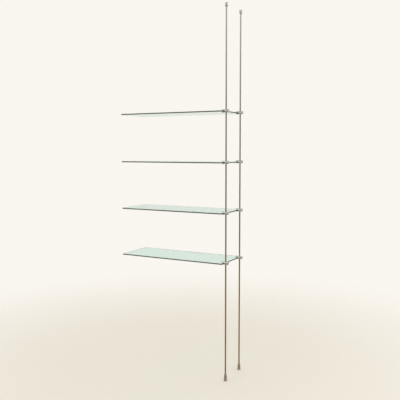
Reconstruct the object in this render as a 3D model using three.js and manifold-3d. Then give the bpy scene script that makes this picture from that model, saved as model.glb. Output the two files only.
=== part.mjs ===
// Tension pole shelf unit: two poles wedged between floor and ceiling by a screw jack at their feet,
// and glass shelves that barrel clamps hold to them. Millimetres. X runs along the shelves, the front is -Y,
// Z is up. The origin is on the floor under the middle of the whole unit.
import * as THREE from "three";
import { mergeVertices } from "three/addons/utils/BufferGeometryUtils.js";
import Module from "manifold-3d";

const wasm = await Module();
wasm.setup();

// Driving dimensions of the unit
const ceilingHeight = 2500;
const poleDiameter = 10;
const poleEdge = 0.6;
const shelfCount = 4;
const lowestShelfHeight = 807; // floor to the middle of the lowest glass
const shelfPitch = 335;

// Glass shelves
const glassLength = 800;
const glassDepth = 300;
const glassThickness = 8;
const glassCornerRadius = 6;
const glassArris = 0.8; // the ground slope along each edge
const poleInset = 37.5; // from the glass's long edges to the poles' axes

// Fits
const fitGap = 0.3; // between pieces that touch, screw together or slide
const cutOverrun = 2; // how far a cutter passes the face that it opens
const weldDepth = 1; // how far joined forms run into each other

// Barrel clamps, one on each pole for each shelf
const jawGrip = 19; // length of glass between the jaws
const upperJaw = 7.4; // metal above the slot, which takes the glass screw's push
const lowerJaw = 2.4; // metal below the slot, where the glass screw stands
const barrelWall = 3; // least metal beside the pole
const slotBackWall = 3.1; // metal between the glass slot and the pole bore
const barrelEdge = 0.9;
const mouthFlare = 0.5;
const linerThickness = 1;
const linerWidth = 12;
const linerSetback = 1.2; // the liner ends this far inside the jaw's mouth

// Lock screw, which grips the pole from the barrel's end
const lockThreadDiameter = 6;
const lockThreadLength = 7.2;
const lockHeadDiameter = 21;
const lockHeadLength = 7;
const lockHeadEdge = 0.7;
const lockFluteDepth = 0.9;
const lockSocketWidth = 4;
const lockSocketDepth = 3;
const lockFlutes = 12;

// Glass screw, which grips the glass from below
const glassScrewDiameter = 4;
const glassScrewProud = 0.6; // how far it stands out below the barrel
const glassScrewSocketWidth = 2;
const glassScrewSocketDepth = 1.4;
const glassScrewEdge = 0.3;

// Fittings at the ends of the poles
const fittingWall = 4.7; // metal round the pole
const fittingEdge = 0.8;
const padThickness = 2;
const padInset = 1;
const padEdge = 0.5;
const ceilingSocketLength = 24;
const ceilingSocketTaper = 7;
const ceilingSocketLip = 2; // metal left round the bore at the tapered end
const ceilingSocketBore = 16;
const grubDiameter = 4;
const grubHeight = 11; // above the socket's lower end
const grubSunk = 0.5;
const grubSocketWidth = 2;
const grubSocketDepth = 1.6;

// Screw jack at the floor
const jackStroke = 7;
const studDiameter = 6;
const studEmbed = 12; // stud inside the pole
const studEdge = 0.6;
const studEngagement = 7; // stud inside the sleeve's thread
const poleEngagement = 12; // pole inside the sleeve's guide
const footPlateThickness = 3;
const spigotDiameter = 8;
const spigotLength = 4;
const pinHoleDiameter = 4;
const pinHoleDepth = 3;

// Facets
const poleSides = 24;
const barrelSides = 28;
const screwSides = 12;
const fittingSides = 24;
const cornerSteps = 4;
const taperSteps = 5;
const pointsPerFlute = 4;

// Sizes that follow from these
const poleRadius = poleDiameter / 2;
const poleSpacing = glassDepth - 2 * poleInset;
const poleBoreRadius = poleRadius + fitGap;
const slotHalf = glassThickness / 2 + fitGap + linerThickness + fitGap;
const slotEnd = poleBoreRadius + slotBackWall; // from the pole's axis to the slot's end wall
const glassEdge = slotEnd + fitGap + linerThickness + fitGap; // from the pole's axis to the glass
const barrelReach = glassEdge + jawGrip;
const barrelRadius = Math.max(slotHalf + (upperJaw + lowerJaw) / 2, poleBoreRadius + barrelWall);
const barrelRise = barrelRadius - slotHalf - lowerJaw; // from the glass's middle up to the barrel's axis
const barrelTail = poleBoreRadius + lockThreadLength;
const lockHeadStart = barrelTail + fitGap;
const lockHeadEnd = lockHeadStart + lockHeadLength;
const glassScrewPlace = glassEdge + jawGrip / 2;
const fittingRadius = poleBoreRadius + fittingWall;
const unitMiddle = (lockHeadEnd - glassEdge - glassLength) / 2;

// Heights in the screw jack, from the floor up
const plateBottom = padThickness + fitGap;
const plateTop = plateBottom + footPlateThickness;
const spigotTop = plateTop + spigotLength;
const sleeveBottom = plateTop + fitGap;
const threadBottom = spigotTop + fitGap;
const studBottom = threadBottom + jackStroke;
const threadTop = studBottom + studEngagement;
const poleBottom = threadTop + jackStroke + fitGap;
const sleeveTop = poleBottom + poleEngagement;
const studTop = poleBottom + studEmbed;

// Heights at the ceiling
const socketTop = ceilingHeight - padThickness - fitGap;
const socketBottom = socketTop - ceilingSocketLength;
const socketBoreTop = socketBottom + ceilingSocketBore;
const poleTop = socketBoreTop - fitGap;

const finishes = {
  pole: { color: 0xb3aea4, roughness: 0.32, metalness: 1 },
  clamp: { color: 0xc4c2bd, roughness: 0.2, metalness: 1 },
  screw: { color: 0xa8a6a2, roughness: 0.28, metalness: 1 },
  fitting: { color: 0xbcb9b3, roughness: 0.3, metalness: 1 },
  stud: { color: 0x9d9c98, roughness: 0.4, metalness: 1 },
  rubber: { color: 0x55524d, roughness: 0.85, metalness: 0 },
  liner: { color: 0x8b8d88, roughness: 0.6, metalness: 0 },
  glass: { color: 0xcfe8dc, roughness: 0.05, metalness: 0, transparent: true, opacity: 0.45 },
};

// A closed surface as a solid that can be joined and cut, and back again
function solidOf(geometry) {
  const bare = geometry.clone();
  bare.deleteAttribute("normal");
  bare.deleteAttribute("uv");
  const merged = mergeVertices(bare);
  return new wasm.Manifold(
    new wasm.Mesh({
      numProp: 3,
      vertProperties: new Float32Array(merged.attributes.position.array),
      triVerts: new Uint32Array(merged.index.array),
    }),
  );
}

function geometryOf(solid) {
  const mesh = solid.getMesh();
  const geometry = new THREE.BufferGeometry();
  geometry.setAttribute("position", new THREE.BufferAttribute(mesh.vertProperties, mesh.numProp));
  geometry.setIndex(new THREE.BufferAttribute(mesh.triVerts, 1));
  geometry.computeVertexNormals();
  return geometry;
}

function cutFrom(geometry, ...cutters) {
  return geometryOf(cutters.reduce((solid, cutter) => solid.subtract(solidOf(cutter)), solidOf(geometry)));
}

// A profile of [radius, height] pairs turned about Z
function turned(profile, sides) {
  const points = profile.map(([radius, height]) => new THREE.Vector2(radius, height));
  return new THREE.LatheGeometry(points, sides).rotateX(Math.PI / 2);
}

// The same form laid along X, so that its height runs towards +X
const alongX = (geometry) => geometry.rotateY(Math.PI / 2);

// A plain round bar with sloped edges, standing between two heights
function roundBar(radius, bottom, top, edge, sides) {
  const profile = [
    [0, bottom],
    [radius - edge, bottom],
    [radius, bottom + edge],
    [radius, top - edge],
    [radius - edge, top],
    [0, top],
  ];
  return turned(profile, sides);
}

// Cutters: a round one and a hexagonal one, standing between two heights
function roundCutter(radius, bottom, top, sides) {
  return new THREE.CylinderGeometry(radius, radius, top - bottom, sides)
    .rotateX(Math.PI / 2)
    .translate(0, 0, (bottom + top) / 2);
}

const hexCutter = (width, bottom, top) => roundCutter(width / Math.sqrt(3), bottom, top, 6);

// An outline in the XZ plane carried along Y, centred on the XZ plane
function carriedAlongY(outline, width) {
  const shape = new THREE.Shape(outline.map(([x, z]) => new THREE.Vector2(x, z)));
  const geometry = new THREE.ExtrudeGeometry(shape, { depth: width, bevelEnabled: false });
  return geometry.rotateX(Math.PI / 2).translate(0, width / 2, 0);
}

// Pole: a solid bar with a blind tapped hole in its lower end for the jack's stud
function poleForm() {
  const holeRadius = studDiameter / 2 + fitGap;
  const profile = [
    [0, studTop + fitGap],
    [holeRadius, studTop + fitGap],
    [holeRadius, poleBottom],
    [poleRadius - poleEdge, poleBottom],
    [poleRadius, poleBottom + poleEdge],
    [poleRadius, poleTop - poleEdge],
    [poleRadius - poleEdge, poleTop],
    [0, poleTop],
  ];
  return turned(profile, poleSides);
}

// Ceiling socket: a blind cup for the pole's top, rounded down to a lip at its open end
function ceilingSocketForm() {
  const lipRadius = poleBoreRadius + ceilingSocketLip;
  const profile = [
    [0, socketBoreTop],
    [poleBoreRadius, socketBoreTop],
    [poleBoreRadius, socketBottom],
  ];
  for (let step = 0; step <= taperSteps; step += 1) {
    const angle = ((step / taperSteps) * Math.PI) / 2;
    const radius = lipRadius + (fittingRadius - lipRadius) * Math.sin(angle);
    profile.push([radius, socketBottom + ceilingSocketTaper * (1 - Math.cos(angle))]);
  }
  profile.push(
    [fittingRadius, socketTop - fittingEdge],
    [fittingRadius - fittingEdge, socketTop],
    [0, socketTop],
  );
  const grubHole = roundCutter(
    grubDiameter / 2 + fitGap,
    poleRadius,
    fittingRadius + cutOverrun,
    screwSides,
  )
    .rotateX(-Math.PI / 2)
    .translate(0, 0, socketBottom + grubHeight);
  return cutFrom(turned(profile, fittingSides), grubHole);
}

// Grub screw: lies along +Y from the pole to just inside the socket's skin, hexagon outwards
function grubForm() {
  const start = poleRadius + fitGap;
  const end = fittingRadius - grubSunk;
  const bar = roundBar(grubDiameter / 2, start, end, studEdge / 2, screwSides);
  const socket = hexCutter(grubSocketWidth, end - grubSocketDepth, end + cutOverrun);
  return cutFrom(bar, socket)
    .rotateX(-Math.PI / 2)
    .translate(0, 0, socketBottom + grubHeight);
}

// A rubber pad, its edge eased on the side that meets the room
function padForm(bottom, easedBelow) {
  const radius = fittingRadius - padInset;
  const top = bottom + padThickness;
  const profile = easedBelow
    ? [[0, bottom], [radius - padEdge, bottom], [radius, bottom + padEdge], [radius, top], [0, top]]
    : [[0, bottom], [radius, bottom], [radius, top - padEdge], [radius - padEdge, top], [0, top]];
  return turned(profile, fittingSides);
}

// Jack sleeve: guides the pole above, carries the stud's thread in the middle, turns on the spigot below,
// and has a blind hole at the back for a pin spanner
function jackSleeveForm() {
  const spigotBore = spigotDiameter / 2 + fitGap;
  const threadBore = studDiameter / 2 + fitGap;
  const profile = [
    [spigotBore, sleeveBottom],
    [fittingRadius - fittingEdge, sleeveBottom],
    [fittingRadius, sleeveBottom + fittingEdge],
    [fittingRadius, sleeveTop - fittingEdge],
    [fittingRadius - fittingEdge, sleeveTop],
    [poleBoreRadius, sleeveTop],
    [poleBoreRadius, threadTop],
    [threadBore, threadTop],
    [threadBore, threadBottom],
    [spigotBore, threadBottom],
    [spigotBore, sleeveBottom],
  ];
  const pinHole = roundCutter(
    pinHoleDiameter / 2,
    fittingRadius - pinHoleDepth,
    fittingRadius + cutOverrun,
    screwSides,
  )
    .rotateX(-Math.PI / 2)
    .translate(0, 0, (threadBottom + threadTop) / 2);
  return cutFrom(turned(profile, fittingSides), pinHole);
}

// Foot plate: the disc that stays still, with the spigot that the sleeve turns on
function footPlateForm() {
  const edge = fittingEdge / 2;
  const profile = [
    [0, plateBottom],
    [fittingRadius - edge, plateBottom],
    [fittingRadius, plateBottom + edge],
    [fittingRadius, plateTop - edge],
    [fittingRadius - edge, plateTop],
    [spigotDiameter / 2, plateTop],
    [spigotDiameter / 2, spigotTop],
    [0, spigotTop],
  ];
  return turned(profile, fittingSides);
}

// Glass shelf: a plate with rounded corners and ground edges, its middle plane at height 0
function glassForm() {
  const left = -glassEdge - glassLength;
  const right = -glassEdge;
  const half = glassDepth / 2;
  const inner = glassCornerRadius;
  const shape = new THREE.Shape();
  shape.absarc(right - inner, -half + inner, inner, -Math.PI / 2, 0, false);
  shape.absarc(right - inner, half - inner, inner, 0, Math.PI / 2, false);
  shape.absarc(left + inner, half - inner, inner, Math.PI / 2, Math.PI, false);
  shape.absarc(left + inner, -half + inner, inner, Math.PI, Math.PI * 1.5, false);
  return new THREE.ExtrudeGeometry(shape, {
    depth: glassThickness - 2 * glassArris,
    bevelThickness: glassArris,
    bevelSize: glassArris,
    bevelOffset: -glassArris,
    bevelSegments: 1,
    curveSegments: cornerSteps,
  }).translate(0, 0, glassArris - glassThickness / 2);
}

// Barrel clamp: a bar along X, cut through for the pole and slotted at -X for the glass, whose middle is
// at height 0, bored along its axis for the lock screw at +X and from below for the glass screw
function clampForm() {
  const barrel = alongX(roundBar(barrelRadius, -barrelReach, barrelTail, barrelEdge, barrelSides));
  barrel.translate(0, 0, barrelRise);
  const poleBore = roundCutter(
    poleBoreRadius,
    barrelRise - barrelRadius - cutOverrun,
    barrelRise + barrelRadius + cutOverrun,
    poleSides,
  );
  const flareEnd = -barrelReach - cutOverrun;
  const slot = carriedAlongY(
    [
      [-slotEnd, -slotHalf],
      [-slotEnd, slotHalf],
      [-barrelReach + mouthFlare, slotHalf],
      [flareEnd, slotHalf + mouthFlare + cutOverrun],
      [flareEnd, -slotHalf - mouthFlare - cutOverrun],
      [-barrelReach + mouthFlare, -slotHalf],
    ],
    2 * (barrelRadius + cutOverrun),
  );
  const lockBore = alongX(
    roundCutter(lockThreadDiameter / 2 + fitGap, poleRadius, barrelTail + cutOverrun, screwSides),
  ).translate(0, 0, barrelRise);
  const screwBore = roundCutter(
    glassScrewDiameter / 2 + fitGap,
    barrelRise - barrelRadius - cutOverrun,
    -slotHalf + cutOverrun,
    screwSides,
  ).translate(-glassScrewPlace, 0, 0);
  return cutFrom(barrel, poleBore, slot, lockBore, screwBore);
}

// Liner: a strip folded round the end of the glass, inside the slot
function linerForm() {
  const outer = glassThickness / 2 + fitGap + linerThickness;
  const inner = glassThickness / 2 + fitGap;
  const back = -slotEnd - fitGap;
  const fold = back - linerThickness;
  const mouth = -barrelReach + linerSetback;
  return carriedAlongY(
    [
      [back, -outer],
      [back, outer],
      [mouth, outer],
      [mouth, inner],
      [fold, inner],
      [fold, -inner],
      [mouth, -inner],
      [mouth, -outer],
    ],
    linerWidth,
  );
}

// Lock screw: a fluted head with a hexagon in its end, and a shank whose tip bears on the pole
function lockScrewForm() {
  const outline = [];
  const steps = lockFlutes * pointsPerFlute;
  for (let step = 0; step < steps; step += 1) {
    const angle = (step / steps) * Math.PI * 2;
    const wave = (1 - Math.cos(angle * lockFlutes)) / 2;
    const radius = lockHeadDiameter / 2 - lockFluteDepth * wave;
    outline.push(new THREE.Vector2(radius * Math.cos(angle), radius * Math.sin(angle)));
  }
  const head = new THREE.ExtrudeGeometry(new THREE.Shape(outline), {
    depth: lockHeadLength - 2 * lockHeadEdge,
    bevelThickness: lockHeadEdge,
    bevelSize: lockHeadEdge,
    bevelOffset: -lockHeadEdge,
    bevelSegments: 1,
  }).translate(0, 0, lockHeadStart + lockHeadEdge);
  const shank = roundBar(
    lockThreadDiameter / 2,
    poleBoreRadius,
    lockHeadStart + weldDepth,
    studEdge,
    screwSides,
  );
  const hexagon = hexCutter(lockSocketWidth, lockHeadEnd - lockSocketDepth, lockHeadEnd + cutOverrun);
  const screw = solidOf(head).add(solidOf(shank)).subtract(solidOf(hexagon));
  return alongX(geometryOf(screw)).translate(0, 0, barrelRise);
}

// Glass screw: stands in the lower jaw, pushes the liner up, hexagon downwards
function glassScrewForm() {
  const bottom = barrelRise - barrelRadius - glassScrewProud;
  const bar = roundBar(glassScrewDiameter / 2, bottom, -slotHalf, glassScrewEdge, screwSides);
  const hexagon = hexCutter(glassScrewSocketWidth, bottom - cutOverrun, bottom + glassScrewSocketDepth);
  return cutFrom(bar, hexagon).translate(-glassScrewPlace, 0, 0);
}

function piece(name, geometry, finish) {
  const mesh = new THREE.Mesh(geometry, new THREE.MeshStandardMaterial(finishes[finish]));
  mesh.name = name;
  return mesh;
}

// One pole with its fittings, standing at the group's origin
function poleGroup(name) {
  const group = new THREE.Group();
  group.add(
    piece(`${name}_pole`, poleForm(), "pole"),
    piece(`${name}_ceiling_socket`, ceilingSocketForm(), "fitting"),
    piece(`${name}_ceiling_grub_screw`, grubForm(), "stud"),
    piece(`${name}_ceiling_pad`, padForm(ceilingHeight - padThickness, false), "rubber"),
    piece(`${name}_jack_stud`, roundBar(studDiameter / 2, studBottom, studTop, studEdge, screwSides), "stud"),
    piece(`${name}_jack_sleeve`, jackSleeveForm(), "fitting"),
    piece(`${name}_foot_plate`, footPlateForm(), "fitting"),
    piece(`${name}_floor_pad`, padForm(0, true), "rubber"),
  );
  return group;
}

// What one clamp holds, with the pole's axis at the group's origin
function clampGroup(name) {
  const group = new THREE.Group();
  group.add(
    piece(`${name}_clamp`, clampForm(), "clamp"),
    piece(`${name}_liner`, linerForm(), "liner"),
    piece(`${name}_lock_screw`, lockScrewForm(), "screw"),
    piece(`${name}_glass_screw`, glassScrewForm(), "screw"),
  );
  return group;
}

const rows = { front: -poleSpacing / 2, rear: poleSpacing / 2 };

const unit = new THREE.Group();
for (const [name, place] of Object.entries(rows)) {
  const group = poleGroup(name);
  group.position.set(-unitMiddle, place, 0);
  unit.add(group);
}
for (let number = 1; number <= shelfCount; number += 1) {
  const shelf = new THREE.Group();
  shelf.position.set(-unitMiddle, 0, lowestShelfHeight + shelfPitch * (number - 1));
  shelf.add(piece(`shelf_${number}_glass`, glassForm(), "glass"));
  for (const [name, place] of Object.entries(rows)) {
    const group = clampGroup(`shelf_${number}_${name}`);
    group.position.set(0, place, 0);
    shelf.add(group);
  }
  unit.add(shelf);
}

export default unit;
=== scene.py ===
import math

import bmesh
import bpy
import numpy as np
from mathutils import Matrix, Vector


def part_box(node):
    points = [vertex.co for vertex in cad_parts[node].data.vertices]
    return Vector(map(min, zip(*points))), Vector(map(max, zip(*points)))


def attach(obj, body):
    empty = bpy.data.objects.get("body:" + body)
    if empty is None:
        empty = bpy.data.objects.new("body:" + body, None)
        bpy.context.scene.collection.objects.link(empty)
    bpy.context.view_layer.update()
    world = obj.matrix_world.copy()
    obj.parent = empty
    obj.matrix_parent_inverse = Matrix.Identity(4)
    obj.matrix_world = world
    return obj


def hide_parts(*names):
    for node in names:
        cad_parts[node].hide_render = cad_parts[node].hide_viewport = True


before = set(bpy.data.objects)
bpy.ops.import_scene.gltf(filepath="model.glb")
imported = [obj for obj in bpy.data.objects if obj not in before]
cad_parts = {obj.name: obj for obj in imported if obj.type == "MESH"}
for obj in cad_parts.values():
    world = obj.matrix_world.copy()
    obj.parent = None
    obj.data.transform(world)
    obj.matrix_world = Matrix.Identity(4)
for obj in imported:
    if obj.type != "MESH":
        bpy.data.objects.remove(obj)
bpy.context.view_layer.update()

# Tension pole shelf unit: two steel poles wedged between floor and ceiling, glass shelves in barrel clamps.
# Metres, Z up, front towards -Y. Every place below comes from the frame's own boxes.
mm = 0.001
rows = ["front", "rear"]
shelves = [1, 2, 3, 4]
fullTurn = 2 * math.pi
gap = 0.3 * mm  # between pieces that touch on the real unit, as in the solids
over = 2 * mm  # how far a cutter runs out past what it cuts
onePoint = 1e-9  # a row narrower than this is a single point
besideArc = 0.3  # in rounds, from an arc's end to the row that keeps the flat beside it flat
noiseReach = (0.3, 0.7)  # where most of a noise lies


# Sizes of a CAD node

def low(node):
    return np.array(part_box(node)[0])


def high(node):
    return np.array(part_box(node)[1])


def middle(node):
    return (low(node) + high(node)) / 2


def span(node):
    return high(node) - low(node)


def radiusOf(node):
    # Of a node that is round along Y or Z
    return span(node)[0] / 2


def boreFor(node):
    return radiusOf(node) + gap


# Surfaces worked out as whole arrays

def evenAngles(count, shift=0):
    return (np.arange(count) + shift) * fullTurn / count


def roundedProfile(corners, steps=4):
    # Each corner is (radius, height, round). A round of f replaces the corner by an arc that touches both
    # sides: start f*tan(turn/2) before it, then centre - n*f*cos(t) + u*f*sin(t) for t from 0 to the turn.
    # A row close outside each end of the arc keeps the flats beside it flat where the shading is smooth.
    points = []
    for place, (radius, height, fillet) in enumerate(corners):
        here = np.array([radius, height])
        if fillet == 0:
            points.append(here)
            continue
        before, after = here - corners[place - 1][:2], corners[place + 1][:2] - here
        u, v = before / np.linalg.norm(before), after / np.linalg.norm(after)
        turn = math.acos(np.clip(u @ v, -1, 1))
        n = (v - u * (u @ v)) / math.sin(turn)
        reach = fillet * math.tan(turn / 2)
        centre = here - u * reach + n * fillet
        t = np.linspace(0, turn, steps + 1)[:, None]
        points.append(here - u * reach - u * fillet * besideArc)
        points.extend(centre - n * fillet * np.cos(t) + u * fillet * np.sin(t))
        points.append(here + v * reach + v * fillet * besideArc)
    return np.array(points)


def formedGrid(radius, height, angle):
    # (r cos a, r sin a, h), with one column for each angle. Radius and height have a row for each row of the
    # grid, and are one column each or change with the angle too.
    x = radius * np.cos(angle)
    return np.stack([x, radius * np.sin(angle), height + 0 * x], axis=-1)


def turnedGrid(profile, sides):
    return formedGrid(profile[:, :1], profile[:, 1:], evenAngles(sides))


def alongX(points):
    return points[..., [2, 1, 0]] * np.array([1, 1, -1])


def alongY(points):
    return points[..., [0, 2, 1]] * np.array([1, 1, -1])


def acrossUpright(points):
    # A bore made for a barrel along X, turned so that it runs along Y out of an upright barrel
    return points[..., [1, 2, 0]]


def faceDown(points):
    return points * np.array([1, -1, -1])


def leftNormals(outline):
    # Unit normals to the left of the way round a closed outline, from each point's two neighbours
    step = np.roll(outline, -1, axis=0) - np.roll(outline, 1, axis=0)
    return np.stack([-step[:, 1], step[:, 0]], axis=-1) / np.linalg.norm(step, axis=1)[:, None]


# Meshes and pieces

def newMesh(name, points, faces):
    mesh = bpy.data.meshes.new(name)
    mesh.from_pydata(points.reshape(-1, 3).tolist(), [], faces)
    return mesh


def bandQuads(index):
    # The quads between each row of point numbers and the next, the columns closing on themselves
    around = np.roll(index, -1, axis=1)
    return np.stack([index[:-1], around[:-1], around[1:], index[1:]], axis=-1)


def gridMesh(name, points, ring=False):
    # Rows by columns by 3. A row drawn in to one point becomes a single vertex with a fan of triangles; with
    # ring, the last row joins the first one again.
    count, sides = points.shape[:2]
    index = np.arange(count * sides).reshape(count, sides)
    pinched = np.ptp(points, axis=1).max(axis=1) < onePoint
    index[pinched] = index[pinched, :1]
    if ring:
        index = np.vstack([index, index[:1]])
        pinched = np.append(pinched, pinched[0])
    quads = bandQuads(index)
    fromPoint, toPoint = pinched[:-1], pinched[1:]
    parts = [
        quads[~fromPoint & ~toPoint].reshape(-1, 4),
        quads[fromPoint].reshape(-1, 4)[:, [0, 2, 3]],
        quads[toPoint].reshape(-1, 4)[:, [0, 1, 2]],
    ]
    used = np.unique(np.concatenate([part.ravel() for part in parts]))
    lookup = np.zeros(count * sides, dtype=np.int64)
    lookup[used] = np.arange(len(used))
    faces = [face for part in parts for face in lookup[part].tolist()]
    return newMesh(name, points.reshape(-1, 3)[used], faces)


def cappedMesh(name, points):
    # Rows by columns by 3, with one flat polygon over the first row and one over the last
    count, sides = points.shape[:2]
    index = np.arange(count * sides).reshape(count, sides)
    ends = [index[0, ::-1].tolist(), index[-1].tolist()]
    return newMesh(name, points, bandQuads(index).reshape(-1, 4).tolist() + ends)


def signedVolume(mesh):
    # Sum of the tetrahedra from the origin to each triangle: positive when the faces point outwards
    mesh.calc_loop_triangles()
    corner = np.empty(len(mesh.vertices) * 3)
    mesh.vertices.foreach_get("co", corner)
    corner = corner.reshape(-1, 3)
    triangle = np.empty(len(mesh.loop_triangles) * 3, dtype=np.int64)
    mesh.loop_triangles.foreach_get("vertices", triangle)
    a, b, c = corner[triangle.reshape(-1, 3)].transpose(1, 0, 2)
    return float(np.einsum("ij,ij->i", a, np.cross(b, c)).sum() / 6)


def smoothShade(mesh, sharpAbove=32):
    mesh.polygons.foreach_set("use_smooth", np.ones(len(mesh.polygons), dtype=bool))
    mesh.set_sharp_from_angle(angle=math.radians(sharpAbove))


def newObject(name, data):
    made = bpy.data.objects.new(name, data)
    bpy.context.scene.collection.objects.link(made)
    return made


def newPiece(mesh, place=(0, 0, 0)):
    # The mesh as an object of the same name, with its faces outwards and its place in its own points
    mesh.validate()
    if signedVolume(mesh) < 0:
        mesh.flip_normals()
    smoothShade(mesh)
    mesh.transform(Matrix.Translation(Vector(place)))
    return newObject(mesh.name, mesh)


def gridPiece(name, points, place=(0, 0, 0), ring=False):
    return newPiece(gridMesh(name, points, ring), place)


def uprightPlace(node, height=0):
    return (*middle(node)[:2], height)


def lyingPlace(node, x=0):
    return (x, *middle(node)[1:])


def copyOf(piece, name, move):
    # A copy of a finished piece whose mesh, not its object, is moved
    mesh = piece.data.copy()
    mesh.name = name
    mesh.transform(Matrix.Translation(Vector(move)))
    return newObject(name, mesh)


def bakeModifiers(piece):
    bpy.context.view_layer.update()
    shaped = piece.evaluated_get(bpy.context.evaluated_depsgraph_get())
    mesh = bpy.data.meshes.new_from_object(shaped)
    old = piece.data
    piece.modifiers.clear()
    piece.data = mesh
    bpy.data.meshes.remove(old)


# Cuts with rounded mouths

cut = {
    "edgeRound": 0.3 * mm, "shortOfSkin": math.radians(30), "steps": 4, "runOn": 2,
    "closePoints": 0.004 * mm, "sharpAbove": 24, "smallHoleSides": 48,
}


def mouthRows(skin, slope):
    # How a cut comes out through a round skin at the height skin, which falls off by slope: rows of distances
    # out from the cut's wall and of heights along it. A round leaves the wall, turns until it is shortOfSkin
    # from the skin's own slant, and then runs on straight, through the skin and past it.
    edge, runOn = cut["edgeRound"], cut["runOn"] * cut["edgeRound"]
    turn = slope + math.pi / 2 - cut["shortOfSkin"]
    t = np.linspace(0, 1, cut["steps"] + 1)[:, None] * turn
    out = edge * (1 - np.cos(t))
    up = skin - edge * np.tan((slope + math.pi / 2) / 2) + edge * np.sin(t)
    outside = out[-1:] + runOn * np.sin(turn)
    up = np.vstack([up, up[-1:] + runOn * np.cos(turn), 0 * outside + skin.max() + over])
    return np.vstack([out, outside, outside]), up


def bothWays(out, up):
    return np.vstack([out[::-1], out]), np.vstack([-up[::-1], up])


def boreGrid(radius, barrel, sides, start=None):
    # A bore along Z out of a barrel that lies along X. Round the bore, at the angle a, the barrel's skin is
    # sqrt(barrel^2 - (radius sin a)^2) high, and falls off by atan(radius sin^2 a / that). Without a start
    # the bore goes right through. Its columns stand half a step beside the barrel's.
    angle = evenAngles(sides, shift=0.5)
    skin = np.sqrt(barrel ** 2 - (radius * np.sin(angle)) ** 2)
    out, up = mouthRows(skin, np.arctan(radius * np.sin(angle) ** 2 / skin))
    if start is None:
        out, up = bothWays(out, up)
    else:
        out, up = np.vstack([0 * out[:1], out]), np.vstack([0 * up[:1] + start, up])
    across = np.vstack([0 * out[:1], radius + out, 0 * out[:1]])
    return formedGrid(across, np.vstack([up[:1], up, up[-1:]]), angle)


def cutOut(piece, cutters):
    # Takes the cutters' forms out of the piece, then merges points that the cuts leave too close together
    for cutter in cutters:
        taken = piece.modifiers.new("cut", "BOOLEAN")
        taken.operation = "DIFFERENCE"
        taken.solver = "EXACT"
        taken.object = cutter
    bakeModifiers(piece)
    for cutter in cutters:
        bpy.data.objects.remove(cutter)
    shape = bmesh.new()
    shape.from_mesh(piece.data)
    bmesh.ops.remove_doubles(shape, verts=shape.verts, dist=cut["closePoints"])
    shape.to_mesh(piece.data)
    shape.free()
    smoothShade(piece.data, cut["sharpAbove"])
    return piece


# Shader nodes

def feed(tree, socket, value):
    # Links the socket to another one, or sets it to a plain value
    if isinstance(value, bpy.types.NodeSocket):
        tree.links.new(value, socket)
    else:
        socket.default_value = value


def feedByName(tree, node, values):
    for label, value in values.items():
        feed(tree, node.inputs[label], value)


def addNode(tree, kind, *values, settings=None, **named):
    # One node with its settings. Its first inputs are fed the values in order, others are fed by name.
    node = tree.nodes.new(kind)
    for key, value in (settings or {}).items():
        setattr(node, key, value)
    for place, value in enumerate(values):
        feed(tree, node.inputs[place], value)
    feedByName(tree, node, named)
    return node


def calculated(tree, operation, *values):
    return addNode(tree, "ShaderNodeMath", *values, settings={"operation": operation}).outputs[0]


def mapped(tree, value, reach, result=(0.0, 1.0), manner="LINEAR"):
    # The value's reach laid over the result's range, and held at its ends outside
    settings = {"interpolation_type": manner}
    return addNode(tree, "ShaderNodeMapRange", value, *reach, *result, settings=settings).outputs[0]


def objectPlace(tree):
    return addNode(tree, "ShaderNodeTexCoord").outputs["Object"]


def stretched(tree, place, factors):
    settings = {"operation": "MULTIPLY"}
    return addNode(tree, "ShaderNodeVectorMath", place, factors, settings=settings).outputs[0]


def noise(tree, place, size, detail, **more):
    return addNode(tree, "ShaderNodeTexNoise", Vector=place, Scale=size, Detail=detail, **more).outputs[0]


def mixColor(tree, mask, first, second):
    # The first colour where the mask is 0, the second where it is 1. Each is a socket or three numbers. The
    # node's colour sockets are inputs 6 and 7 and output 2.
    node = addNode(tree, "ShaderNodeMix", mask, settings={"data_type": "RGBA"})
    for place, color in ((6, first), (7, second)):
        feed(tree, node.inputs[place], color if isinstance(color, bpy.types.NodeSocket) else (*color, 1))
    return node.outputs[2]


def surfaceMix(tree, mask, first, second, output="Material Output"):
    both = addNode(tree, "ShaderNodeMixShader", mask, first, second)
    feed(tree, tree.nodes[output].inputs["Surface"], both.outputs[0])


def addRelief(tree, shader, height, strength, depth):
    bump = addNode(tree, "ShaderNodeBump", Height=height, Strength=strength, Distance=depth)
    feed(tree, shader.inputs["Normal"], bump.outputs[0])


# Shader effects that several finishes share. Each is a node group with its own values in each material.

grainShape = {
    "fineDetail": 3.0, "fineRoughness": 0.6, "fineShare": 0.65,
    "broadStretch": (0.23, 0.23, 0.4), "broadDetail": 2.0, "broadShare": 0.35,
}
smearShape = {
    "detail": 4.0, "distortion": 0.6, "patchReach": (0.5, 0.72), "finerTimes": 9.0, "finerDetail": 2.0,
}
dustShape = {
    "upReach": (0.55, 0.98), "detail": 6.0, "roughness": 0.7,
    "patchReach": (0.3, 0.75), "spread": (0.25, 1.0),
}
pointReach = (0.52, 0.6)


def newGroup(name, inputs, outputs):
    # Inputs with their own values, one number each or three
    group = bpy.data.node_groups.new(name, "ShaderNodeTree")
    for label, value in inputs.items():
        kind = "NodeSocketFloat" if isinstance(value, float) else "NodeSocketVector"
        socket = group.interface.new_socket(label, in_out="INPUT", socket_type=kind)
        socket.default_value = value
    for label in outputs:
        group.interface.new_socket(label, in_out="OUTPUT", socket_type="NodeSocketFloat")
    start = group.nodes.new("NodeGroupInput")
    end = group.nodes.new("NodeGroupOutput")
    return group, start.outputs, end.inputs


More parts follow.
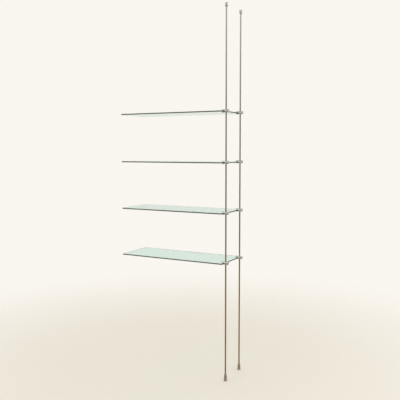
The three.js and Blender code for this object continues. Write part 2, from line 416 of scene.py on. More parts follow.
def makeGrainGroup():
    # Fine lines: noise drawn out along one axis by the Stretch vector. Mask 0 to 1, and a height for a bump.
    size = grainShape
    inputs = {"Stretch": (1, 1, 1), "Fineness": 1.0}
    group, given, out = newGroup("brushedGrain", inputs, ["Mask", "Height"])
    drawn = stretched(group, objectPlace(group), given["Stretch"])
    wider = stretched(group, drawn, size["broadStretch"])
    fine = noise(group, drawn, given["Fineness"], size["fineDetail"], Roughness=size["fineRoughness"])
    broad = noise(group, wider, given["Fineness"], size["broadDetail"])
    fineLines = calculated(group, "MULTIPLY", fine, size["fineShare"])
    feed(group, out["Mask"], calculated(group, "MULTIPLY_ADD", broad, size["broadShare"], fineLines))
    feed(group, out["Height"], fine)
    return group


def makeHandlingGroup():
    # Where hands have been: soft smears of a few centimetres, broken by finer marks. Mask 0 to 1.
    size = smearShape
    group, given, out = newGroup("handlingSmears", {"Size": 30.0, "Amount": 1.0}, ["Mask"])
    place = objectPlace(group)
    soft = noise(group, place, given["Size"], size["detail"], Distortion=size["distortion"])
    finer = calculated(group, "MULTIPLY", given["Size"], size["finerTimes"])
    fine = noise(group, place, finer, size["finerDetail"])
    broken = calculated(group, "MULTIPLY", mapped(group, soft, size["patchReach"]), fine)
    feed(group, out["Mask"], calculated(group, "MULTIPLY", broken, given["Amount"]))
    return group


def makeDustGroup():
    # Dust lies on what faces up: the up share of the normal, past a limit, times patchy noise. Mask 0 to 1.
    size = dustShape
    group, given, out = newGroup("settledDust", {"Amount": 0.3, "Size": 60.0}, ["Mask"])
    normal = addNode(group, "ShaderNodeNewGeometry").outputs["Normal"]
    way = addNode(group, "ShaderNodeSeparateXYZ", normal).outputs
    patchy = noise(group, objectPlace(group), given["Size"], size["detail"], Roughness=size["roughness"])
    spread = mapped(group, patchy, size["patchReach"], size["spread"])
    lying = calculated(group, "MULTIPLY", mapped(group, way["Z"], size["upReach"]), spread)
    feed(group, out["Mask"], calculated(group, "MULTIPLY", lying, given["Amount"]))
    return group


def makeEdgeGroup():
    # Polished-through edges: how far the surface is more pointed than flat. Mask 0 to 1.
    group, given, out = newGroup("edgeWear", {"Amount": 1.0}, ["Mask"])
    pointed = addNode(group, "ShaderNodeNewGeometry").outputs["Pointiness"]
    edge = mapped(group, pointed, pointReach)
    feed(group, out["Mask"], calculated(group, "MULTIPLY", edge, given["Amount"]))
    return group


grainGroup = makeGrainGroup()
handlingGroup = makeHandlingGroup()
dustGroup = makeDustGroup()
edgeGroup = makeEdgeGroup()
print("shader groups made")


def useGroup(tree, group, **values):
    return addNode(tree, "ShaderNodeGroup", settings={"node_tree": group}, **values).outputs


# Materials

def blankMaterial(name):
    material = bpy.data.materials.new(name)
    material.use_nodes = True
    tree = material.node_tree
    return material, tree, tree.nodes["Principled BSDF"]


steelShape = {"dustSize": 90.0, "smearDull": 0.22, "dustDull": 0.5, "grainDepth": 0.02 * mm}


def steelMaterial(name, look):
    # Bare metal: brushed or turned grain in its colour, roughness and height, smears of handling, brighter
    # edges, and a little dust on what faces up
    size = steelShape
    material, tree, shader = blankMaterial(name)
    grain = useGroup(tree, grainGroup, Stretch=look["stretch"], Fineness=look["fineness"])
    smears = useGroup(tree, handlingGroup, Size=look["smearSize"], Amount=look["smears"])
    dust = useGroup(tree, dustGroup, Amount=look["dust"], Size=size["dustSize"])
    edge = useGroup(tree, edgeGroup, Amount=look["edge"])
    metal = mixColor(tree, grain["Mask"], look["dark"], look["light"])
    worn = mixColor(tree, edge["Mask"], metal, look["bare"])
    rough = mapped(tree, grain["Mask"], noiseReach, (look["smooth"], look["rough"]))
    smeared = calculated(tree, "MULTIPLY_ADD", smears["Mask"], size["smearDull"], rough)
    feedByName(tree, shader, {
        "Base Color": mixColor(tree, dust["Mask"], worn, look["dustColor"]),
        "Roughness": calculated(tree, "MULTIPLY_ADD", dust["Mask"], size["dustDull"], smeared),
        "Metallic": 1.0, "Anisotropic": look["anisotropy"],
    })
    addRelief(tree, shader, grain["Height"], look["bump"], size["grainDepth"])
    return material


rubberShape = {
    "mottleDetail": 5.0, "skinDetail": 2.0, "skinBump": 0.35, "skinDepth": 0.1 * mm, "dustSize": 140.0,
}


def rubberMaterial(name, look):
    # Moulded rubber: mottled colour, fine grain in its height, pale dust on what faces up
    material, tree, shader = blankMaterial(name)
    size, place = rubberShape, objectPlace(tree)
    mottle = noise(tree, place, look["mottle"], size["mottleDetail"])
    skin = noise(tree, place, look["skin"], size["skinDetail"])
    dust = useGroup(tree, dustGroup, Amount=look["dust"], Size=size["dustSize"])
    body = mixColor(tree, mottle, look["dark"], look["light"])
    feedByName(tree, shader, {
        "Base Color": mixColor(tree, dust["Mask"], body, look["dustColor"]),
        "Roughness": mapped(tree, mottle, noiseReach, (look["smooth"], look["rough"])),
    })
    addRelief(tree, shader, skin, size["skinBump"], size["skinDepth"])
    return material


def glassMaterial(name, look):
    # The faces of float glass: nearly clear, with a faint sea-green tint at each surface that light passes.
    # Smears and dust dull it in places. Lamps shine through onto what lies below through a tint.
    material, tree, shader = blankMaterial(name)
    smears = useGroup(tree, handlingGroup, Size=look["smearSize"], Amount=look["smears"])
    dust = useGroup(tree, dustGroup, Amount=look["dust"], Size=look["dustSize"])
    haze = calculated(tree, "MULTIPLY", dust["Mask"], look["dustHaze"])
    feedByName(tree, shader, {
        "Base Color": mixColor(tree, dust["Mask"], look["face"], look["dustColor"]),
        "Roughness": calculated(tree, "MULTIPLY_ADD", smears["Mask"], look["smearHaze"], haze),
        "IOR": look["bend"], "Transmission Weight": 1.0,
    })
    ray = addNode(tree, "ShaderNodeLightPath").outputs
    clear = addNode(tree, "ShaderNodeBsdfTransparent", (*look["shadow"], 1)).outputs[0]
    surfaceMix(tree, ray["Is Shadow Ray"], shader.outputs[0], clear)
    return material


def glassEdgeMaterial(name, look):
    # The ground and polished edge: deep grey green, streaked along its length by the grinding, and duller on
    # the sloped arrises, which the slant of the normal finds
    material, tree, shader = blankMaterial(name)
    place = objectPlace(tree)
    streak = noise(tree, stretched(tree, place, look["stretch"]), look["fineness"], look["fineDetail"])
    cloud = noise(tree, place, look["cloudSize"], look["cloudDetail"])
    normal = addNode(tree, "ShaderNodeNewGeometry").outputs["True Normal"]
    slant = calculated(tree, "ABSOLUTE", addNode(tree, "ShaderNodeSeparateXYZ", normal).outputs["Z"])
    arris = mapped(tree, slant, look["arrisReach"])
    body = mixColor(tree, cloud, look["dark"], look["light"])
    polish = mapped(tree, streak, noiseReach, (look["smooth"], look["rough"]))
    feedByName(tree, shader, {
        "Base Color": mixColor(tree, arris, body, look["arris"]),
        "Roughness": calculated(tree, "MULTIPLY_ADD", arris, look["arrisDull"], polish),
        "IOR": look["bend"], "Transmission Weight": look["clear"],
    })
    addRelief(tree, shader, streak, look["bump"], look["bumpDepth"])
    return material


poleLook = {
    "dark": (0.48, 0.456, 0.418), "light": (0.635, 0.615, 0.577), "bare": (0.80, 0.79, 0.76),
    "dustColor": (0.62, 0.59, 0.54), "stretch": (1, 1, 0.02), "fineness": 1500.0, "anisotropy": 0.5,
    "smooth": 0.24, "rough": 0.36, "smears": 0.7, "smearSize": 22.0, "dust": 0.0, "edge": 0.5, "bump": 0.25,
}
fittingLook = {
    "dark": (0.70, 0.68, 0.64), "light": (0.83, 0.81, 0.77), "bare": (0.88, 0.87, 0.84),
    "dustColor": (0.64, 0.61, 0.56), "stretch": (0.05, 0.05, 1), "fineness": 2200.0, "anisotropy": 0.4,
    "smooth": 0.34, "rough": 0.46, "smears": 0.8, "smearSize": 45.0, "dust": 0.25, "edge": 0.7, "bump": 0.2,
}
clampLook = {
    "dark": (0.64, 0.63, 0.61), "light": (0.76, 0.755, 0.74), "bare": (0.86, 0.855, 0.84),
    "dustColor": (0.66, 0.64, 0.60), "stretch": (1, 0.08, 0.08), "fineness": 1800.0, "anisotropy": 0.2,
    "smooth": 0.08, "rough": 0.17, "smears": 0.6, "smearSize": 60.0, "dust": 0.15, "edge": 0.8, "bump": 0.08,
}
screwLook = {
    "dark": (0.66, 0.655, 0.64), "light": (0.79, 0.785, 0.77), "bare": (0.88, 0.875, 0.86),
    "dustColor": (0.60, 0.58, 0.54), "stretch": (1, 1, 1), "fineness": 900.0, "anisotropy": 0.0,
    "smooth": 0.2, "rough": 0.34, "smears": 0.8, "smearSize": 70.0, "dust": 0.2, "edge": 1.0, "bump": 0.15,
}
padLook = {
    "dark": (0.20, 0.195, 0.18), "light": (0.29, 0.28, 0.26), "dustColor": (0.42, 0.40, 0.36),
    "mottle": 260.0, "skin": 2600.0, "dust": 0.3, "smooth": 0.62, "rough": 0.85,
}
linerLook = {
    "dark": (0.055, 0.056, 0.053), "light": (0.10, 0.102, 0.097), "dustColor": (0.30, 0.295, 0.28),
    "mottle": 420.0, "skin": 3200.0, "dust": 0.2, "smooth": 0.5, "rough": 0.7,
}
glassLook = {
    "face": (0.66, 0.88, 0.80), "shadow": (0.78, 0.91, 0.86), "dustColor": (0.78, 0.87, 0.82), "bend": 1.52,
    "smearSize": 9.0, "smears": 0.5, "smearHaze": 0.06, "dust": 0.12, "dustSize": 70.0, "dustHaze": 0.15,
}
glassEdgeLook = {
    "dark": (0.08, 0.094, 0.074), "light": (0.135, 0.153, 0.122), "arris": (0.18, 0.202, 0.165),
    "arrisReach": (0.25, 0.6), "arrisDull": 0.2, "clear": 0.20, "bend": 1.52, "cloudSize": 26.0,
    "cloudDetail": 2.0, "stretch": (0.03, 0.03, 1), "fineness": 2400.0, "fineDetail": 3.0,
    "smooth": 0.06, "rough": 0.18, "bump": 0.12, "bumpDepth": 0.02 * mm,
}
finishes = {
    "pole_steel": steelMaterial("poleSteel", poleLook),
    "fitting_steel": steelMaterial("fittingSteel", fittingLook),
    "clamp_chrome": steelMaterial("clampChrome", clampLook),
    "screw_steel": steelMaterial("screwSteel", screwLook),
    "pad_rubber": rubberMaterial("padRubber", padLook),
    "liner_rubber": rubberMaterial("linerRubber", linerLook),
    "shelf_glass": glassMaterial("shelfGlass", glassLook),
}
shelfGlassEdge = glassEdgeMaterial("shelfGlassEdge", glassEdgeLook)
print("materials made")


def finished(piece, node, body, slot):
    # Stands for its CAD node, rides on its body and wears its slot's material
    piece.data.materials.clear()
    piece.data.materials.append(finishes[slot])
    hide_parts(node)
    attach(piece, body)
    return piece


# Screws: one surface from the tip, over the thread and the head, down into the hexagon

def hexagonRadius(across, angle):
    # Distance from the axis to the side of a hexagon of that width across its flats, at each angle
    return across / 2 / np.cos((angle + math.pi / 6) % (math.pi / 3) - math.pi / 6)


thread = {"stepsPerTurn": 8, "fadeFrom": 0.25}


def threadRows(radius, size, start, end, angle):
    # r = radius - depth * |2 frac(h / pitch - a / full turn) - 1|, its depth fading in and out at the ends
    count = int(round((end - start) / size["pitch"] * thread["stepsPerTurn"])) + 1
    height = np.linspace(start, end, count)[:, None]
    phase = (height / size["pitch"] - angle / fullTurn) % 1
    tooth = np.abs(2 * phase - 1)
    fade = np.clip(np.minimum(height - start, end - height) / size["pitch"] + thread["fadeFrom"], 0, 1)
    return radius - size["threadDepth"] * (1 - (1 - tooth) * fade), height + 0 * angle


def flatRows(points, angle):
    # Plain turned rows from (radius, height) points, as arrays of rows by columns
    profile = np.array(points)
    return profile[:, :1] + 0 * angle, profile[:, 1:] + 0 * angle


socketShares = {"rim": 1.6, "mouthEnd": 1.5, "cone": 0.12}


def hexagonRows(size, top, angle):
    # From the flat end into the socket: a round mouth, then the hexagon's walls, then a cone to the axis
    across, mouth = size["socketAcross"], size["socketMouth"]
    corner, floor = across / math.sqrt(3), top - size["socketDepth"]
    wall = hexagonRadius(across, angle)
    mouthEnd, tip = top - mouth * socketShares["mouthEnd"], floor - across * socketShares["cone"]
    radius = [corner + mouth * socketShares["rim"], corner + mouth, wall, wall, wall, 0]
    height = [top, top, top - mouth, mouthEnd, floor, tip]
    return [np.stack([row + 0 * angle for row in part]) for part in (radius, height)]


def flutedRows(profile, size, angle):
    # A turned head whose skin dips by depth in even flutes: r = profile - depth * (1 - cos(n a)) / 2
    radius, height = flatRows(profile, angle)
    return radius - size["fluteDepth"] * (1 - np.cos(size["flutes"] * angle)) / 2, height


def screwGrid(parts, angle):
    radius, height = zip(*parts)
    return formedGrid(np.vstack(radius), np.vstack(height), angle)


lockScrew = {
    "columns": 144, "threadRadius": 3.0 * mm, "threadDepth": 0.55 * mm, "pitch": 1.0 * mm,
    "tipEdge": 0.6 * mm, "tipRound": 0.2 * mm, "tipShare": 0.6, "neck": 0.05 * mm, "backShares": (0.8, 0.85),
    "flutes": 12, "fluteDepth": 0.9 * mm, "headRound": 0.65 * mm, "rimShare": 0.4, "rimLand": 0.1 * mm,
    "dish": 0.5 * mm, "dishEdge": 1.6 * mm, "dishSlope": 0.3 * mm,
    "socketAcross": 4.0 * mm, "socketDepth": 2.8 * mm, "socketMouth": 0.2 * mm,
}


def lockScrewPiece(node):
    # Laid along X: tip at the pole, thread in the barrel, fluted head outside it
    size = lockScrew
    angle = evenAngles(size["columns"])
    start, end = low(node)[0], high(node)[0]
    head = high(node.replace("lock_screw", "clamp"))[0] + gap
    radius, edge, neck = size["threadRadius"], size["tipEdge"], size["neck"]
    headRadius = span(node)[2] / 2
    inner = headRadius - size["headRound"] * size["rimShare"]
    back, side = np.array(size["backShares"]) * inner
    rim = inner - size["dishEdge"]
    land, slope = rim - size["fluteDepth"] - size["rimLand"], size["dishSlope"]
    face = end - size["dish"]
    tip = roundedProfile([
        (0, start, 0), (radius - edge, start, size["tipRound"]),
        (radius - edge * size["tipShare"], start + edge, 0),
    ])
    outside = roundedProfile([
        (side, head, 0), (headRadius, head, size["headRound"]),
        (headRadius, end, size["headRound"]), (rim, end, 0),
    ])
    points = screwGrid([
        flatRows(tip, angle),
        threadRows(radius, size, start + edge, head - neck * 2, angle),
        flatRows([(radius, head - neck), (radius, head), (back, head)], angle),
        flutedRows(outside, size, angle),
        flatRows([(land, end), (land - slope, face), (land - slope * 2, face)], angle),
        hexagonRows(size, face, angle),
    ], angle)
    return gridPiece(f"{node}_turned", alongX(points), lyingPlace(node))


glassScrew = {
    "columns": 96, "threadDepth": 0.4 * mm, "pitch": 0.7 * mm, "edge": 0.3 * mm, "rootShare": 0.75,
    "tipShares": (0.3, 0.4), "threadShare": 0.5, "endShares": (0.4, 0.3),
    "socketAcross": 2.0 * mm, "socketDepth": 1.3 * mm, "socketMouth": 0.1 * mm,
}
grubScrew = {**glassScrew, "socketDepth": 1.5 * mm}


def setScrewGrid(size, radius, length):
    # A headless screw from its tip at height 0 to its socket end
    angle = evenAngles(size["columns"])
    edge, root = size["edge"], radius - size["threadDepth"] * size["rootShare"]
    tipIn, tipUp = np.array(size["tipShares"]) * edge
    endIn, endDown = np.array(size["endShares"]) * edge
    spare = edge * size["threadShare"]
    return screwGrid([
        flatRows([(0, 0), (root - edge, 0), (root - tipIn, tipUp)], angle),
        threadRows(radius, size, spare, length - spare, angle),
        flatRows([(root, length - endDown), (root - endIn, length)], angle),
        hexagonRows(size, length, angle),
    ], angle)


def glassScrewPiece(node):
    points = faceDown(setScrewGrid(glassScrew, radiusOf(node), span(node)[2]))
    return gridPiece(f"{node}_turned", points, uprightPlace(node, high(node)[2]))


# Poles, and what is at their ends

pole = {"sides": 96, "endRound": 0.55 * mm, "holeEdge": 0.3 * mm, "holeEndRound": 0.1 * mm}


def polePiece(row):
    # Its lower end is bored for the jack's stud
    node, stud = f"{row}_pole", f"{row}_jack_stud"
    bottom, top = low(node)[2], high(node)[2]
    radius, hole = radiusOf(node), boreFor(stud)
    holeTop = high(stud)[2] + gap
    corners = [
        (0, holeTop, 0), (hole, holeTop, pole["holeEndRound"]), (hole, bottom, pole["holeEdge"]),
        (radius, bottom, pole["endRound"]), (radius, top, pole["endRound"]), (0, top, 0),
    ]
    piece = gridPiece(f"{node}_bar", turnedGrid(roundedProfile(corners), pole["sides"]), uprightPlace(node))
    return finished(piece, node, "root", "pole_steel")


jackStud = {"columns": 64, "threadDepth": 0.55 * mm, "pitch": 1.0 * mm, "edge": 0.5 * mm}


def studPiece(row):
    # Threaded from end to end, with a small cone at each end
    node = f"{row}_jack_stud"
    size = jackStud
    angle = evenAngles(size["columns"])
    bottom, top = low(node)[2], high(node)[2]
    radius, edge = radiusOf(node), size["edge"]
    root = radius - size["threadDepth"]
    points = screwGrid([
        flatRows([(0, bottom), (root - edge, bottom), (root, bottom + edge)], angle),
        threadRows(radius, size, bottom + edge, top - edge, angle),
        flatRows([(root, top - edge), (root - edge, top), (0, top)], angle),
    ], angle)
    return finished(gridPiece(f"{node}_thread", points, uprightPlace(node)), node, "root", "screw_steel")


ceilingSocket = {
    "sides": 128, "lip": 1.2 * mm, "lipRound": 0.35 * mm, "boreDepth": 16.0 * mm, "boreEndRound": 0.3 * mm,
    "taper": 9.5 * mm, "taperSteps": 14, "firstShare": 0.04, "aboveTaperShare": 1.1,
    "topRound": 0.7 * mm, "grubSpare": 0.2 * mm,
}


def ceilingSocketPiece(row):
    # Drawn in to its lip along a quarter sine wave: radius lip + (full - lip) sin(s * quarter turn) at the
    # height taper * s, for s up to 1
    node, grub = f"{row}_ceiling_socket", f"{row}_ceiling_grub_screw"
    size = ceilingSocket
    bottom, top = low(node)[2], high(node)[2]
    radius, bore = radiusOf(node), boreFor(f"{row}_pole")
    lip, boreEnd = bore + size["lip"], bottom + size["boreDepth"]
    share = np.linspace(size["firstShare"], 1, size["taperSteps"])
    drawnIn = lip + (radius - lip) * np.sin(share * math.pi / 2)
    inside = roundedProfile([
        (0, boreEnd, 0), (bore, boreEnd, size["boreEndRound"]),
        (bore, bottom, size["lipRound"]), (lip, bottom, 0),
    ])
    aboveTaper = bottom + size["taper"] * size["aboveTaperShare"]
    outside = roundedProfile([(radius, aboveTaper, 0), (radius, top, size["topRound"]), (0, top, 0)])
    profile = np.vstack([inside, np.stack([drawnIn, bottom + size["taper"] * share], axis=-1), outside])
    piece = gridPiece(f"{node}_shell", turnedGrid(profile, size["sides"]), uprightPlace(node))
    start = low(grub)[1] - size["grubSpare"] - middle(node)[1]
    hole = acrossUpright(boreGrid(boreFor(grub), radius, cut["smallHoleSides"], start))
    cutOut(piece, [gridPiece("grubHole", hole, uprightPlace(node, middle(grub)[2]))])
    return finished(piece, node, "root", "fitting_steel")


def grubScrewPiece(row):
    node = f"{row}_ceiling_grub_screw"
    place = (middle(node)[0], low(node)[1], middle(node)[2])
    points = alongY(setScrewGrid(grubScrew, radiusOf(node), span(node)[1]))
    piece = gridPiece(f"{node}_turned", points, place)
    return finished(piece, node, "root", "screw_steel")


pad = {
    "sides": 96, "edgeRound": 0.45 * mm, "backRound": 0.15 * mm, "grooves": [7.4 * mm, 5.2 * mm, 3.0 * mm],
    "grooveWidth": 0.7 * mm, "grooveDepth": 0.35 * mm, "grooveSlope": 0.1 * mm, "grooveRound": 0.08 * mm,
    "roundSteps": 3,
}


def padPiece(node, body, upsideDown):
    # A disc whose gripping face has round grooves; built gripping face up, then turned over for the floor
    radius, thick = radiusOf(node), span(node)[2]
    half, slope, soft = pad["grooveWidth"] / 2, pad["grooveSlope"], pad["grooveRound"]
    floor = thick - pad["grooveDepth"]
    corners = [(0, 0, 0), (radius, 0, pad["backRound"]), (radius, thick, pad["edgeRound"])]
    for place in pad["grooves"]:
        corners += [(place + half, thick, soft), (place + half - slope, floor, soft)]
        corners += [(place - half + slope, floor, soft), (place - half, thick, soft)]
    corners.append((0, thick, 0))
    points = turnedGrid(roundedProfile(corners, pad["roundSteps"]), pad["sides"])
    if upsideDown:
        points = faceDown(points) + np.array([0, 0, thick])
    piece = gridPiece(f"{node}_disc", points, uprightPlace(node, low(node)[2]))
    return finished(piece, node, body, "pad_rubber")


jackSleeve = {
    "sides": 128, "outerRound": 0.75 * mm, "innerRound": 0.3 * mm, "threadEndRound": 0.1 * mm,
    "seam": 0.2 * mm, "pinHoleRadius": 2.0 * mm, "pinHoleDepth": 3.0 * mm, "stroke": 7.0 * mm,
}


def sleevePiece(row):
    # A tube: inside, from the bottom, the foot plate's spigot, the thread's core and the pole's guide. Its
    # outline closes on itself at a seam in the spigot's bore.
    node = f"{row}_jack_sleeve"
    size = jackSleeve
    bottom, top = low(node)[2], high(node)[2]
    radius, small, soft = radiusOf(node), size["innerRound"], size["threadEndRound"]
    guide, core = boreFor(f"{row}_pole"), boreFor(f"{row}_jack_stud")
    spigot = footPlate["spigotRadius"] + gap
    threadBottom = high(f"{row}_foot_plate")[2] + gap
    threadTop = low(f"{row}_pole")[2] - size["stroke"] - gap
    seam = (bottom + threadBottom) / 2
    corners = [
        (spigot, seam, 0), (spigot, bottom, small), (radius, bottom, size["outerRound"]),
        (radius, top, size["outerRound"]), (guide, top, small), (guide, threadTop, small),
        (core, threadTop, small), (core, threadBottom, soft), (spigot, threadBottom, soft),
        (spigot, seam + size["seam"], 0),
    ]
    points = turnedGrid(roundedProfile(corners), size["sides"])
    piece = gridPiece(f"{node}_shell", points, uprightPlace(node), ring=True)
    hole = boreGrid(size["pinHoleRadius"], radius, cut["smallHoleSides"], radius - size["pinHoleDepth"])
    holePlace = uprightPlace(node, (threadBottom + threadTop) / 2)
    cutOut(piece, [gridPiece("pinHole", acrossUpright(hole), holePlace)])
    return finished(piece, node, f"{row}_jack", "fitting_steel")


footPlate = {
    "sides": 128, "outerRound": 0.4 * mm, "thickness": 3.0 * mm,
    "spigotRadius": 4.0 * mm, "spigotFoot": 0.2 * mm, "spigotRound": 0.35 * mm,
}


def footPlatePiece(row):
    node = f"{row}_foot_plate"
    size = footPlate
    bottom, top = low(node)[2], high(node)[2]
    radius, spigot = radiusOf(node), size["spigotRadius"]
    step = bottom + size["thickness"]
    corners = [
        (0, bottom, 0), (radius, bottom, size["outerRound"]), (radius, step, size["outerRound"]),
        (spigot, step, size["spigotFoot"]), (spigot, top, size["spigotRound"]), (0, top, 0),
    ]
    piece = gridPiece(f"{node}_disc", turnedGrid(roundedProfile(corners), size["sides"]), uprightPlace(node))
    return finished(piece, node, f"{row}_foot", "fitting_steel")


for row in rows:
    polePiece(row)
    studPiece(row)
    ceilingSocketPiece(row)
    grubScrewPiece(row)
    padPiece(f"{row}_ceiling_pad", "root", False)
    sleevePiece(row)
    footPlatePiece(row)
    padPiece(f"{row}_floor_pad", f"{row}_foot", True)
print("poles and fittings made")


# Glass shelves

shelf = {
    "corner": 6.0 * mm, "cornerSteps": 12, "arris": 0.8 * mm, "arrisRound": 0.12 * mm, "arrisSteps": 2,
    "faceInset": 2.4 * mm,
}


def outlinePath(lowCorner, highCorner, corner, steps):
    # A rectangle with round corners, as points and outward normals: corner's centre + corner (cos a, sin a)
    quarter = np.linspace(0, math.pi / 2, steps + 1)
    centres = [
        (highCorner[0] - corner, lowCorner[1] + corner), (highCorner[0] - corner, highCorner[1] - corner),
        (lowCorner[0] + corner, highCorner[1] - corner), (lowCorner[0] + corner, lowCorner[1] + corner),
    ]
    angle = np.concatenate([quarter + (place - 1) * math.pi / 2 for place in range(4)])
    normal = np.stack([np.cos(angle), np.sin(angle)], axis=-1)
    return np.repeat(np.array(centres), steps + 1, axis=0) + corner * normal, normal


def glassPiece(number):
    # The edge profile carried round the outline: each row is the outline moved in along its normals by the
    # profile's depth, at the profile's height. The two faces are closed by one flat polygon each.
    node = f"shelf_{number}_glass"
    first, last = low(node), high(node)
    path, normal = outlinePath(first, last, shelf["corner"], shelf["cornerSteps"])
    arris, soft, inset = shelf["arris"], shelf["arrisRound"], shelf["faceInset"]
    edge = roundedProfile([
        (inset, first[2], 0), (arris, first[2], soft), (0, first[2] + arris, soft),
        (0, last[2] - arris, soft), (arris, last[2], soft), (inset, last[2], 0),
    ], shelf["arrisSteps"])
    points = np.empty((len(edge), len(path), 3))
    points[..., :2] = path - normal * edge[:, :1, None]
    points[..., 2] = edge[:, 1:]
    piece = finished(newPiece(cappedMesh(f"{node}_plate", points)), node, f"shelf_{number}", "shelf_glass")
    # All bands but the first and the last belong to the ground edge, and so wear its own finish
    mesh = piece.data
    mesh.materials.append(shelfGlassEdge)
    onEdge = np.zeros(len(mesh.polygons), dtype=np.int32)
    onEdge[len(path):(len(edge) - 2) * len(path)] = 1
    mesh.polygons.foreach_set("material_index", onEdge)
    return piece


for number in shelves:
    glassPiece(number)
print("glass made")


# Barrel clamps and what is in them

clamp = {
    "sides": 160, "boreSides": 96, "screwSides": 64, "roundSteps": 5,
    "endRound": 0.85 * mm, "boreRound": 0.4 * mm, "slotRound": 0.6 * mm,
    "mouthFlare": 0.5 * mm, "mouthRound": 1.5 * mm, "leastSkinShare": 0.25,
}


def slotCutter(node, start, radius):
    # The glass slot: an outline in XZ with soft inner corners and a flared mouth, carried along Y. It lies
    # lower than the barrel's axis, at the liner's middle height. Its long edges are rounded where they meet
    # the skin, which is sqrt(radius^2 - height^2) out from the axis.
    liner = node.replace("clamp", "liner")
    half = span(liner)[2] / 2 + gap
    back = high(liner)[0] + gap
    flare, mouth, inner = clamp["mouthFlare"], clamp["mouthRound"], clamp["slotRound"]
    outline = roundedProfile([
        (start - over, half + flare + over, 0), (start + flare, half, mouth), (back, half, inner),
        (back, -half, inner), (start + flare, -half, mouth), (start - over, -half - flare - over, 0),
    ], clamp["roundSteps"])
    normal = leftNormals(outline)
    height = outline[:, 1] + middle(liner)[2] - middle(node)[2]
    skin = np.sqrt(np.maximum(radius ** 2 - height ** 2, (radius * clamp["leastSkinShare"]) ** 2))
    out, up = bothWays(*mouthRows(skin, np.arctan(height * normal[:, 1] / skin)))
    points = np.stack([outline[:, 0] + normal[:, 0] * out, up, height + normal[:, 1] * out], axis=-1)
    return newPiece(cappedMesh("slot", points), lyingPlace(node))


def clampPiece(node):
    # A barrel turned along X with the lock screw's bore in its end, cut by the pole's bore, the glass slot
    # and the glass screw's bore
    size = clamp
    poleNode = "front_pole" if "front" in node else "rear_pole"
    liner, screw = node.replace("clamp", "liner"), node.replace("clamp", "glass_screw")
    start, end = low(node)[0], high(node)[0]
    radius, lock = span(node)[2] / 2, lockScrew["threadRadius"] + gap
    poleX, screwX = middle(poleNode)[0], middle(screw)[0]
    aboveGlass = middle(node)[2] - middle(liner)[2]
    corners = [
        (0, start, 0), (radius, start, size["endRound"]), (radius, end, size["endRound"]),
        (lock, end, size["boreRound"]), (lock, poleX, 0), (0, poleX, 0),
    ]
    turned = alongX(turnedGrid(roundedProfile(corners, size["roundSteps"]), size["sides"]))
    barrel = gridPiece(f"{node}_barrel", turned, lyingPlace(node))
    poleBore = boreGrid(boreFor(poleNode), radius, size["boreSides"])
    screwBore = boreGrid(boreFor(screw), radius, size["screwSides"], aboveGlass)
    poleHole = gridPiece("poleHole", poleBore, lyingPlace(node, poleX))
    screwHole = gridPiece("screwHole", faceDown(screwBore), lyingPlace(node, screwX))
    return cutOut(barrel, [poleHole, slotCutter(node, start, radius), screwHole])


linerShape = {
    "thickness": 1.0 * mm, "foldRound": 0.45 * mm, "outerRound": 0.9 * mm, "endRound": 0.3 * mm,
    "edgeRound": 0.25 * mm, "edgeSteps": 3, "seam": 6.0 * mm,
}


def linerPiece(node):
    # The strip's outline in XZ, folded round the glass edge, carried along Y; its ends draw in by a small
    # round. The outline closes on itself at a seam, that far in from the mouth.
    size = linerShape
    mouth, back = low(node)[0], high(node)[0]
    outer, half = span(node)[2] / 2, span(node)[1] / 2
    inner, fold = outer - size["thickness"], back - size["thickness"]
    outerRound, foldRound, endRound = size["outerRound"], size["foldRound"], size["endRound"]
    seam = (mouth + size["seam"], -outer, 0)
    outline = roundedProfile([
        seam, (back, -outer, outerRound), (back, outer, outerRound), (mouth, outer, endRound),
        (mouth, inner, endRound), (fold, inner, foldRound), (fold, -inner, foldRound),
        (mouth, -inner, endRound), (mouth, -outer, endRound), seam,
    ])[:-1]
    inward = leftNormals(outline)
    t = np.linspace(0, math.pi / 2, size["edgeSteps"] + 1)
    drawIn = size["edgeRound"] * (1 - np.sin(t))
    across = size["edgeRound"] * (1 - np.cos(t))
    offsets = np.concatenate([drawIn, drawIn[::-1]])
    stations = np.concatenate([-half + across, half - across[::-1]])
    points = np.empty((len(stations), len(outline), 3))
    points[..., [0, 2]] = outline + inward * offsets[:, None, None]
    points[..., 1] = stations[:, None]
    return newPiece(cappedMesh(f"{node}_strip", points), lyingPlace(node))


makers = {
    "clamp": (clampPiece, "clamp_chrome", ""),
    "liner": (linerPiece, "liner_rubber", ""),
    "lock_screw": (lockScrewPiece, "screw_steel", "_lock"),
    "glass_screw": (glassScrewPiece, "screw_steel", "_grip"),
}
for part, (maker, slot, joint) in makers.items():
    firstNode = f"shelf_1_front_{part}"
    original = maker(firstNode)
    for number in shelves:
        for row in rows:
            node = f"shelf_{number}_{row}_{part}"
            piece = original
            if node != firstNode:
                piece = copyOf(original, original.name.replace(firstNode, node), low(node) - low(firstNode))
            body = f"shelf_{number}_{row}{joint}" if joint else f"shelf_{number}"
            finished(piece, node, body, slot)
print("clamps made")


# Studio: a pale floor that fades out into a pale surround, soft lights, the photograph's camera

